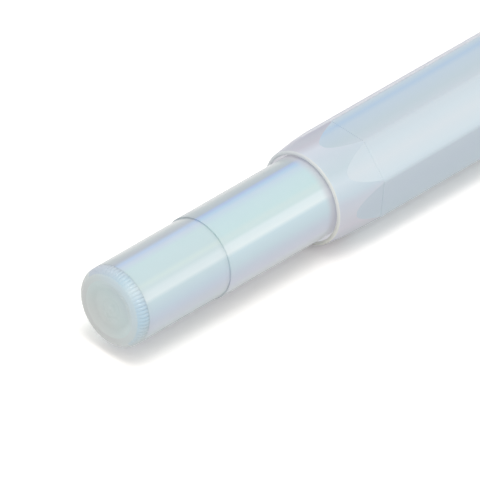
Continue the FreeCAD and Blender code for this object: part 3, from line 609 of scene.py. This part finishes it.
@dataclass
class RearCover(Assembly):
    """Rear sleeve with its ribbed turning knob, and the carbon store inside."""

    bore: float = 4.45
    seam_round: float = 0.04
    edge_round: float = 1.0
    dish_radius: float = 3.7
    dish_floor: float = 2.5
    dish_depth: float = 0.45
    rib_count: int = 66
    rib_depth: float = 0.1
    rib_power: float = 2.5
    columns_per_rib: int = 12
    spigot_radius: float = 4.4
    rib_fade: float = 1.2
    rib_stop: float = 0.2
    sprue_radius: float = 0.5
    sprue_height: float = 0.1
    sprue_power: int = 6
    sprue_ring: float = 1.25
    sprue_ring_width: float = 0.14
    face_edge: float = 4.55
    painted_reflection_side: float = -0.05
    scar: tuple[float, float] = (-0.25, -1.15)
    scar_radius: float = 0.5
    scar_width: float = 0.14
    scar_height: float = 0.14
    knot: tuple[float, float] = (0.9, -0.3)
    knot_share: float = 0.6

    def make_pieces(self) -> None:
        """Make the sleeve, the knob and the carbon pads."""
        self.make_sleeve()
        self.make_knob()
        self.make_carbon()

    def make_sleeve(self) -> None:
        """A plain tube whose two ends have a fine rounded edge."""
        start, end = station("rear_cover", 0), station("rear_cover", 1)
        radius, edge = outer_radius("rear_cover"), self.seam_round
        profile = outline((start, self.bore), Arc((start + edge, radius - edge), edge, 180, 90, 5),
                          *middle_rows(start + edge, end - edge, radius),
                          Arc((end - edge, radius - edge), edge, 90, 0, 5), (end, self.bore))
        self.take(lathe("rear_cover" + NEW_PIECE, profile, 192), Look.COVER)

    def make_knob(self) -> None:
        """A disc with a dished face, a rounded edge and ribs.

        The dish is a flat hollow with a cosine flank and a low sprue mark in its middle, inside a
        fine ring, a Gaussian of the distance from its radius. Each rib's groove is a cosine wave
        round the rim, raised to a power, and fades out over the rounded edge as the radius falls.
        """
        start, seam, back = station("end_knob", 0), station("rear_cover", 0), station("end_knob", 1)
        radius, edge = outer_radius("end_knob"), self.edge_round
        reach = np.linspace(0, self.dish_radius, 40)
        flank = np.clip((reach - self.dish_floor) / (self.dish_radius - self.dish_floor), 0, 1)
        hollow = self.dish_depth * (0.5 + 0.5 * np.cos(math.pi * flank))
        bump = self.sprue_height * np.exp(-(reach / self.sprue_radius) ** self.sprue_power)
        bump -= self.sprue_height / 2 * np.exp(-((reach - self.sprue_ring) / self.sprue_ring_width) ** 2)
        face = np.stack([start + hollow - bump, reach], axis=1)
        side = np.stack([np.linspace(start + edge, seam, 14), np.full(14, radius)], axis=1)
        profile = np.concatenate([face, Arc((start + edge, radius - edge), edge, 180, 92, 14).points(), side,
                                  outline((seam, self.spigot_radius), (back, self.spigot_radius), (back, 0))])
        rows = profile[1:-1]
        turn = np.arange(self.rib_count * self.columns_per_rib) * 2 * math.pi / self.columns_per_rib
        groove = (0.5 + 0.5 * np.cos(turn)) ** self.rib_power
        on_rim = np.clip(1 - (radius - rows[:, 1]) / self.rib_fade, 0, 1)
        on_rim *= np.clip((seam - rows[:, 0]) / self.rib_stop, 0, 1)
        ripple = -self.rib_depth * on_rim[:, None] * groove[None, :]
        knob = lathe("end_knob" + NEW_PIECE, profile, len(turn), ripple=ripple)
        self.raise_scar(knob)
        _, away = face_places(knob)
        # Ribs on the side towards KNOB_TURN get the RIBS look with its painted reflection and highlight; the
        # rest of the rim gets EDGE.
        ribbed = (away > self.face_edge) & (facing(knob, KNOB_TURN) > self.painted_reflection_side)
        choose_looks(knob, np.select([ribbed, away > self.dish_radius], [2, 1], 0))
        self.take(knob, Look.KNOB, Look.EDGE, Look.RIBS)

    def raise_scar(self, knob: Object) -> None:
        """Raise the gate's scar on the dish's floor.

        It is a ridge whose height is a Gaussian of the distance from a circle round the scar's
        middle, highest on the circle's lower side, and a low knot beside it.
        """
        spots = np.empty(len(knob.data.vertices) * 3)
        knob.data.vertices.foreach_get("co", spots)
        spots = spots.reshape(-1, 3)
        side = -spots[:, 1] / MM - self.scar[0]
        rise = (spots[:, 2] - AXIS_HEIGHT) / MM - self.scar[1]
        away = np.hypot(side, rise)
        lower = 0.5 - 0.5 * rise / np.maximum(away, 1e-9)
        ridge = lower * np.exp(-((away - self.scar_radius) / self.scar_width) ** 2)
        off_knot = (side - self.knot[0]) ** 2 + (rise - self.knot[1]) ** 2
        knot = self.knot_share * np.exp(-off_knot / self.scar_width)
        on_floor = spots[:, 0] < REAR_FACE + 2 * self.dish_depth * MM
        spots[:, 0] -= np.where(on_floor, self.scar_height * (ridge + knot), 0) * MM
        knob.data.vertices.foreach_set("co", spots.ravel())

    def make_carbon(self) -> None:
        """Foam disc with sides that bulge a little, and a felt disc with a soft edge."""
        self.take(pad("carbon_foam", bulge=-0.12, edge=0.1), Look.FOAM, fill=0.9)
        self.take(pad("carbon_felt", bulge=0.0, edge=0.18), Look.FELT, fill=0.9)


@dataclass
class TipHead(Assembly):
    """Tilting holder with the foam and the cleaning face."""

    def make_pieces(self) -> None:
        """Make the foam and the dished chamois face."""
        self.take(pad("tip_foam", bulge=0.1, edge=0.12), Look.FOAM, fill=0.9)
        self.take(pad("tip_pad", bulge=0.0, edge=0.22, dish=0.12), Look.CHAMOIS, fill=1.0)


@dataclass
class Barrel(Assembly):
    """Barrel tube with the thumb button's slot, and its mouthpiece."""

    seam_round: float = 0.07
    shoulder: float = 0.5
    section_radius: float = 4.1
    bore: float = 3.1
    plug_bore: float = 3.88
    plug_pocket: float = 6.0
    shoulder_place: float = 20.9
    ridge_radius: float = 4.75
    ridge: tuple[float, float] = (33.6, 37.8)
    ring_seat: tuple[float, float] = (35.3, 36.1)
    ring_seat_radius: float = 4.3
    slot: tuple[float, float] = (39.8, 57.4)
    slot_half_width: float = 1.6
    slot_columns: int = 6
    side_columns: int = 150
    nozzle_bore: float = 2.5
    nozzle_tip_wall: float = 0.8
    nozzle_rim: float = 0.8

    def make_pieces(self) -> None:
        """Make the tube and the mouthpiece."""
        self.make_tube()
        self.make_nozzle()

    def make_tube(self) -> None:
        """A turned tube with a slot cut through its top.

        The columns that edge the slot keep the same distance from the middle plane at every
        radius, so the slot's walls are flat: their angle is the arcsine of that distance over the
        radius. The quads over the slot are left out, and walls join the outside to the bore.
        """
        start, end = station("barrel_tube", 0), station("barrel_tube", 1)
        radius, edge = outer_radius("barrel_tube"), self.seam_round
        step = start + self.shoulder_place
        low, high = (start + place for place in self.slot)
        ridge_low, ridge_high = (start + place for place in self.ridge)
        seat_low, seat_high = (start + place for place in self.ring_seat)
        outside = outline(
            (start, self.plug_bore), Arc((start + edge, radius - edge), edge, 180, 90, 5),
            *middle_rows(start + edge, step, radius), (step, radius),
            Arc((step, self.section_radius + self.shoulder), self.shoulder, 60, 0, 3),
            (step + self.shoulder, self.section_radius),
            (ridge_low, self.section_radius), (ridge_low, self.ridge_radius), (seat_low, self.ridge_radius),
            (seat_low, self.ring_seat_radius), (seat_high, self.ring_seat_radius),
            (seat_high, self.ridge_radius),
            (ridge_high, self.ridge_radius), (ridge_high, self.section_radius))
        inside = outline((end, self.section_radius), (end, self.bore), (high, self.bore), (low, self.bore),
                         (start + self.plug_pocket, self.bore), (start + self.plug_pocket, self.plug_bore))
        slot_rows = np.array([(low, self.section_radius), (high, self.section_radius)])
        profile = np.concatenate([outside, slot_rows, inside])
        first_out, first_in = len(outside), len(outside) + 4
        lean = np.arcsin(self.slot_half_width / profile[:, 1:])
        across = np.linspace(-1, 1, self.slot_columns + 1)[None, :] * lean
        side = np.linspace(0, 1, self.side_columns + 1)[None, 1:-1]
        angle = np.concatenate([across, lean + side * (2 * math.pi - 2 * lean)], axis=1)
        points, (quads,) = turned_grid(profile[:, 0], profile[:, 1:], angle, True)
        columns = angle.shape[1]
        row, column = quads[:, 0] // columns, quads[:, 0] % columns
        over_slot = ((row == first_out) | (row == first_in)) & (column < self.slot_columns)
        edge_columns = np.array([0, self.slot_columns])
        out_low, in_high = first_out * columns, first_in * columns
        out_high, in_low = out_low + columns, in_high + columns
        sides = np.stack([out_low + edge_columns, out_high + edge_columns,
                          in_high + edge_columns, in_low + edge_columns], axis=1)
        here = np.arange(self.slot_columns)
        ends = np.concatenate([np.stack([top + here, top + here + 1, base + here + 1, base + here], axis=1)
                               for top, base in ((out_low, in_low), (out_high, in_high))])
        self.take(make_object("barrel_tube" + NEW_PIECE, points, [quads[~over_slot], sides, ends],
                              Shading.CREASED), Look.BARREL)

    def make_nozzle(self) -> None:
        """A spigot, a short rim and a cone with a rounded tip."""
        start, end = station("nozzle", 0), station("nozzle", 1)
        seam = station("barrel_tube", 1)
        tip = self.nozzle_bore + self.nozzle_tip_wall
        rounding = self.nozzle_tip_wall / 2
        profile = outline((start, self.nozzle_bore), (start, self.bore), (seam, self.bore),
                          (seam, self.section_radius), (seam + self.nozzle_rim, self.section_radius),
                          Arc((end - rounding, tip - rounding), rounding, 80, -90, 12),
                          (end - rounding * 2, self.nozzle_bore))
        self.take(lathe("nozzle" + NEW_PIECE, profile, 96), Look.NOZZLE)


@dataclass
class Brush(Assembly):
    """Brush on its slide: crimped ferrule and tuft."""

    ferrule_bore: float = 2.0
    crimp: tuple[float, float] = (4.8, 5.3)
    crimp_depth: float = 0.12
    tuft_radius: float = 1.96
    swell: float = 0.25
    swell_start: float = 0.2
    swell_place: float = 0.58
    tip_radius: float = 0.45
    hair_count: int = 700
    hair_radius: float = 0.055
    hair_sides: int = 4
    hair_rows: int = 8
    hair_taper: float = 0.75
    hair_stray: float = 0.09
    length_spread: float = 0.14

    def make_pieces(self) -> None:
        """Make the ferrule and the tuft."""
        start, end = station("brush_ferrule", 0), station("brush_ferrule", 1)
        radius, bend = outer_radius("brush_ferrule"), self.crimp_depth
        low, high = (start + place for place in self.crimp)
        profile = outline((start, self.ferrule_bore), Arc((start + bend, radius - bend), bend, 180, 90, 5),
                          (low - bend, radius), Arc((low, radius + bend), 2 * bend, 250, 290, 5),
                          (high + bend, radius), Arc((end - bend, radius - bend), bend, 90, 0, 5),
                          (end, self.ferrule_bore))
        self.take(lathe("brush_ferrule" + NEW_PIECE, profile, 96), Look.NICKEL)
        self.make_tuft()

    def tuft_width(self, share: np.ndarray) -> np.ndarray:
        """The tuft's radius along it: straight, then a sine swell, then a parabola down to its tip."""
        rise = np.clip((share - self.swell_start) / (self.swell_place - self.swell_start), 0, 1)
        fall = np.clip((share - self.swell_place) / (1 - self.swell_place), 0, 1)
        swollen = self.tuft_radius + self.swell * np.sin(rise * math.pi / 2)
        return swollen + (self.tip_radius - swollen) * fall ** 2

    def make_tuft(self) -> None:
        """Hundreds of tapered hairs round a sunflower spiral.

        Hair k stands at the square root of its share of the tuft's radius, a golden angle on from
        the last one, and keeps that share of the radius all the way along. Lengths differ a little.
        """
        start, end = station("brush_bristles", 0), station("brush_bristles", 1)
        draw = np.random.default_rng(7)
        number = np.arange(self.hair_count)
        share = np.sqrt((number + 0.5) / self.hair_count)
        turn = number * math.pi * (3 - math.sqrt(5))
        length = 1 - self.length_spread * draw.random(self.hair_count) * (0.3 + share)
        along = np.linspace(0, 1, self.hair_rows)[None, :] * length[:, None]
        width = self.tuft_width(along) * share[:, None] * 0.97
        lean = turn[:, None] + self.hair_stray * draw.standard_normal((self.hair_count, 1)) * along
        thick = self.hair_radius * (1 - self.hair_taper * along ** 3)
        corner = (np.arange(self.hair_sides) * 2 * math.pi / self.hair_sides)[None, None, :]
        side = -(width * np.sin(lean))[..., None] + thick[..., None] * np.cos(corner)
        rise = (width * np.cos(lean))[..., None] + thick[..., None] * np.sin(corner)
        spot = np.broadcast_to((start + along * (end - start))[..., None], side.shape)
        hairs = place(spot, side, rise).reshape(-1, 3)
        per_hair = self.hair_rows * self.hair_sides
        tube = wrap_faces(self.hair_rows, self.hair_sides, False)
        caps = np.array([range(self.hair_sides), range(per_hair - 1, per_hair - 1 - self.hair_sides, -1)])
        first = (number * per_hair)[:, None, None]
        faces = [(tube[None] + first).reshape(-1, 4), (caps[None] + first).reshape(-1, 4)]
        self.take(make_object("brush_bristles" + NEW_PIECE, hairs, faces, Shading.SMOOTH), Look.HAIR)


@dataclass
class Cap(Assembly):
    """Eight-sided cap with a rounded lip and a conical collar."""

    bore: float = 5.6
    lip_radius: float = 6.12
    lip_round: float = 0.3
    lip_inner_round: float = 0.18
    seal_radius: float = 5.43
    seal: tuple[float, float] = (0.6, 1.1)
    seal_slope: float = 0.35
    corner_radius: float = 6.93
    flat_drop: float = 0.06
    kink_place: float = 7.25
    kink_groove: float = 0.06
    collar_margin: float = 0.012
    crown_chamfer: float = 0.8
    inlay_radius: float = 4.0
    inlay_depth: float = 0.8
    inlay_chamfer: float = 0.15
    bead_share: float = 0.8
    bead_radius: float = 0.05
    crown_wall: float = 3.0
    screw_hole: float = 1.2
    flats: int = 8
    least_flat: float = 0.012
    flat_shares: tuple[float, ...] = (0, 0.35, 0.7, 0.93, 0.985, 1.0)
    corner_shares: tuple[float, ...] = (0.05, 0.3, 0.65, 1.0)
    kink_step: float = 0.06
    lip_share: float = 0.6

    def make_pieces(self) -> None:
        """Make the shell and the inlay."""
        self.make_shell()
        start, end = station("crown_inlay", 0), station("crown_inlay", 1)
        radius, edge = outer_radius("crown_inlay"), self.inlay_chamfer
        bead = radius * self.bead_share
        profile = outline((start, 0), (start, radius), Arc((end - edge, radius - edge), edge, 90, 0, 6),
                          (end, radius * 0.82), Arc((end, bead), self.bead_radius, 0, -180, 5),
                          (end, radius / 2), (end, 0))
        self.take(lathe("crown_inlay" + NEW_PIECE, profile, 128), Look.INLAY)

    def make_shell(self) -> None:
        """A turned shell cut by eight flats.

        The outside's radius is the lesser of the turned radius and the flat's distance over the
        cosine of the angle from the flat's middle. The flat's edge lies at the arccosine of that
        distance over the turned radius, and columns follow it, so the edge is crisp at every
        station. Ahead of each flat's rounded end, where it doesn't cut, the turned radius stays.
        """
        start, end = station("cap_shell", 0), station("cap_shell", 1)
        kink, flat = start + self.kink_place, outer_flat("cap_shell")
        outer, inner = self.lip_round, self.lip_inner_round
        slope = (self.corner_radius - self.lip_radius) / self.kink_place
        cone = np.linspace(start + outer, kink - self.kink_step, 90)
        chamfer = np.linspace(0, self.crown_chamfer, 9)
        crown = end - self.crown_wall
        recess = end - self.inlay_depth
        outside = np.concatenate([
            Arc((start + inner, self.bore + inner), inner, 270, 180, 7).points(),
            Arc((start + outer, self.lip_radius + slope * outer - outer), outer, 180, 98, 10).points(),
            np.stack([cone, self.lip_radius + slope * (cone - start)], axis=1),
            outline((kink, self.corner_radius), (kink + self.kink_step, self.corner_radius),
                    *middle_rows(kink + self.kink_step, end - self.crown_chamfer, self.corner_radius)),
            np.stack([end - self.crown_chamfer + chamfer, self.corner_radius - chamfer], axis=1)])
        seal_low, seal_high = (start + spot for spot in self.seal)
        inside = outline((end, self.inlay_radius), (recess, self.inlay_radius), (recess, self.screw_hole),
                         (crown, self.screw_hole), (crown, self.bore),
                         (seal_high + self.seal_slope, self.bore), (seal_high, self.seal_radius),
                         (seal_low, self.seal_radius), (seal_low - self.seal_slope, self.bore))
        profile = np.concatenate([outside, inside])
        stations, turned = profile[:, 0], profile[:, 1:]
        height = flat - self.flat_drop * np.clip((kink - stations) / self.kink_place, 0, 1)
        height = height - self.kink_groove * (np.abs(stations - kink) < 0.01)
        cut = height[:, None]
        edge = np.arccos(np.clip(cut / turned, -1, 1))
        edge = np.clip(edge, self.least_flat, math.pi / self.flats - self.least_flat)
        half = np.array(self.flat_shares)[None, :] * edge
        rest = edge + np.array(self.corner_shares)[None, :] * (math.pi / self.flats - edge)
        right = np.concatenate([half, rest], axis=1)
        one = np.concatenate([-right[:, :0:-1], right[:, :-1]], axis=1)
        middles = np.arange(self.flats) * 2 * math.pi / self.flats
        angle = np.concatenate([middle + one for middle in middles], axis=1)
        from_middle = np.tile(one, (1, self.flats))
        radius = np.minimum(turned, np.where(cut < turned, cut / np.cos(from_middle), turned))
        points, faces = turned_grid(stations, radius, angle, True)
        shell = make_object("cap_shell" + NEW_PIECE, points, faces, Shading.CREASED)
        place_along, away = face_places(shell)
        row, column = (index.ravel() for index in np.indices(angle.shape))
        cuts = (cut < turned).ravel()
        middle, reach = one.shape[1] // 2, len(self.flat_shares) - 1
        first_flat, last_flat = middle - reach, middle + reach
        in_flat = (column % one.shape[1] >= first_flat) & (column % one.shape[1] < last_flat)
        in_flat &= cuts[row] & cuts[(row + 1) % len(cuts)]
        on_lip = place_along < start + outer * self.lip_share
        on_collar = (place_along < kink) & ~in_flat
        in_mouth = away < self.bore + self.collar_margin
        # The lip's paler tints, the collar's painted highlight and shade, and the throat's glow are painted
        # light.
        choose_looks(shell, np.select([in_mouth, on_lip, on_collar], [3, 2, 1], 0))
        self.take(shell, Look.CAP, Look.COLLAR, Look.LIP, Look.THROAT)


# The studio.
@dataclass
class Studio:
    """A plain white table under a wide overhead softbox, and the camera."""

    distance: float = 2.0
    lens_mm: float = 1275.0
    azimuth: float = -50.2
    elevation: float = 36.75
    roll: float = 5.66
    aim: tuple[float, float, float] = (-0.03568, -0.00698, 0.01367)
    key_energy: float = 0.85
    key_size: float = 0.25
    key_place: tuple[float, float, float] = (-0.08, -0.05, 0.5)
    sky: float = 0.68
    floor_size: float = 3.0
    floor_white: float = 0.9
    floor_seen: tuple[float, float, float] = (1.29, 1.25, 1.21)
    floor_lift: float = 0.06

    def build(self) -> None:
        """Make the world, the floor, the lights and the camera."""
        self.make_world()
        self.make_floor()
        self.make_key()
        self.make_camera()
        bpy.context.scene.view_settings.view_transform = "Standard"

    @staticmethod
    def seen_directly(tree: Tree) -> Socket:
        """1 for the eye's rays and for those that gloss or clear plastic sends on, else 0."""
        path = add_node(tree, "LightPath")
        gloss = add_node(tree, "Math", {0: path.outputs["Is Camera Ray"],
                                        1: path.outputs["Is Glossy Ray"]}, operation="MAXIMUM")
        both = add_node(tree, "Math", {0: gloss.outputs[0],
                                       1: path.outputs["Is Transmission Ray"]}, operation="MAXIMUM")
        return both.outputs[0]

    def make_world(self) -> None:
        """An even grey sky for lighting, which the eye, gloss and clear plastic see as white."""
        world = bpy.data.worlds.new("studio_sky")
        bpy.context.scene.world = world
        world.use_nodes = True
        tree = world.node_tree
        tree.nodes.clear()
        white = add_node(tree, "Background", {"Color": (1, 1, 1, 1), "Strength": 1.0})
        grey = add_node(tree, "Background", {"Color": (1, 1, 1, 1), "Strength": self.sky})
        mix = add_node(tree, "MixShader", {0: self.seen_directly(tree), 1: grey.outputs[0],
                                           2: white.outputs[0]})
        add_node(tree, "OutputWorld", {0: mix.outputs[0]})

    def make_floor(self) -> None:
        """A white table, so bright to the eye that only the pen's soft shadow shows on it."""
        half = self.floor_size / 2
        mesh = bpy.data.meshes.new("table_top")
        corners = [(-half, -half, 0), (half, -half, 0), (half, half, 0), (-half, half, 0)]
        mesh.from_pydata(corners, [], [(0, 1, 2, 3)])
        floor = bpy.data.objects.new("table_top", mesh)
        bpy.context.scene.collection.objects.link(floor)
        material = bpy.data.materials.new("white_laminate")
        material.use_nodes = True
        tree = material.node_tree
        tree.nodes.clear()
        board = add_node(tree, "BsdfDiffuse", {"Color": (self.floor_white,) * 3 + (1,)})
        bright = add_node(tree, "BsdfDiffuse", {"Color": (*self.floor_seen, 1)})
        lift = add_node(tree, "Emission", {"Color": (1, 1, 1, 1), "Strength": self.floor_lift})
        both = add_node(tree, "AddShader", {0: bright.outputs[0], 1: lift.outputs[0]})
        mix = add_node(tree, "MixShader", {0: self.seen_directly(tree), 1: board.outputs[0],
                                           2: both.outputs[0]})
        add_node(tree, "OutputMaterial", {0: mix.outputs[0]})
        mesh.materials.append(material)

    def make_key(self) -> None:
        """The overhead softbox."""
        light = bpy.data.lights.new("overhead_softbox", "AREA")
        light.shape = "SQUARE"
        light.size = self.key_size
        light.energy = self.key_energy
        lamp = bpy.data.objects.new("overhead_softbox", light)
        lamp.location = self.key_place
        lamp.rotation_euler = Vector(self.key_place).to_track_quat("Z", "Y").to_euler()
        bpy.context.scene.collection.objects.link(lamp)

    def make_camera(self) -> None:
        """A long lens from the rear left, a little rolled."""
        turn, tilt = math.radians(self.azimuth), math.radians(self.elevation)
        back = Vector((math.sin(turn) * math.cos(tilt), -math.cos(turn) * math.cos(tilt), math.sin(tilt)))
        data = bpy.data.cameras.new("camera")
        data.lens = self.lens_mm
        data.clip_start, data.clip_end = 0.1, 20
        camera = bpy.data.objects.new("camera", data)
        camera.location = Vector(self.aim) + back * self.distance
        camera.rotation_mode = "QUATERNION"
        level = (-back).to_track_quat("-Z", "Y")
        camera.rotation_quaternion = level @ Quaternion((0, 0, 1), math.radians(self.roll))
        bpy.context.scene.collection.objects.link(camera)
        bpy.context.scene.camera = camera


def main() -> None:
    """Build the sub-assemblies in order, then the studio."""
    logging.basicConfig(level=logging.INFO, format="%(message)s")
    for assembly in (
        RearCover("cover", {"carbon_cup": Look.BLACK}),
        Assembly("cover_ring", {"cover_grip_ring": Look.STEEL}),
        TipHead("tip_head", {"tip_cup": Look.BLACK}),
        Barrel("barrel", {"tail_bush": Look.BLACK, "tip_neck": Look.BLACK, "tip_pivot_pin": Look.STEEL}),
        Brush("brush", {"brush_carriage": Look.WHITE, "slider_button": Look.BLACK,
                        "slide_spring": Look.SPRING, "ferrule_pin": Look.STEEL}),
        Assembly("cap_ring", {"cap_grip_ring": Look.STEEL}),
        Cap("cap", {"cap_liner": Look.LINER, "crown_screw": Look.STEEL}),
    ):
        assembly.build()
    Studio().build()


if __name__ == "__main__":
    main()
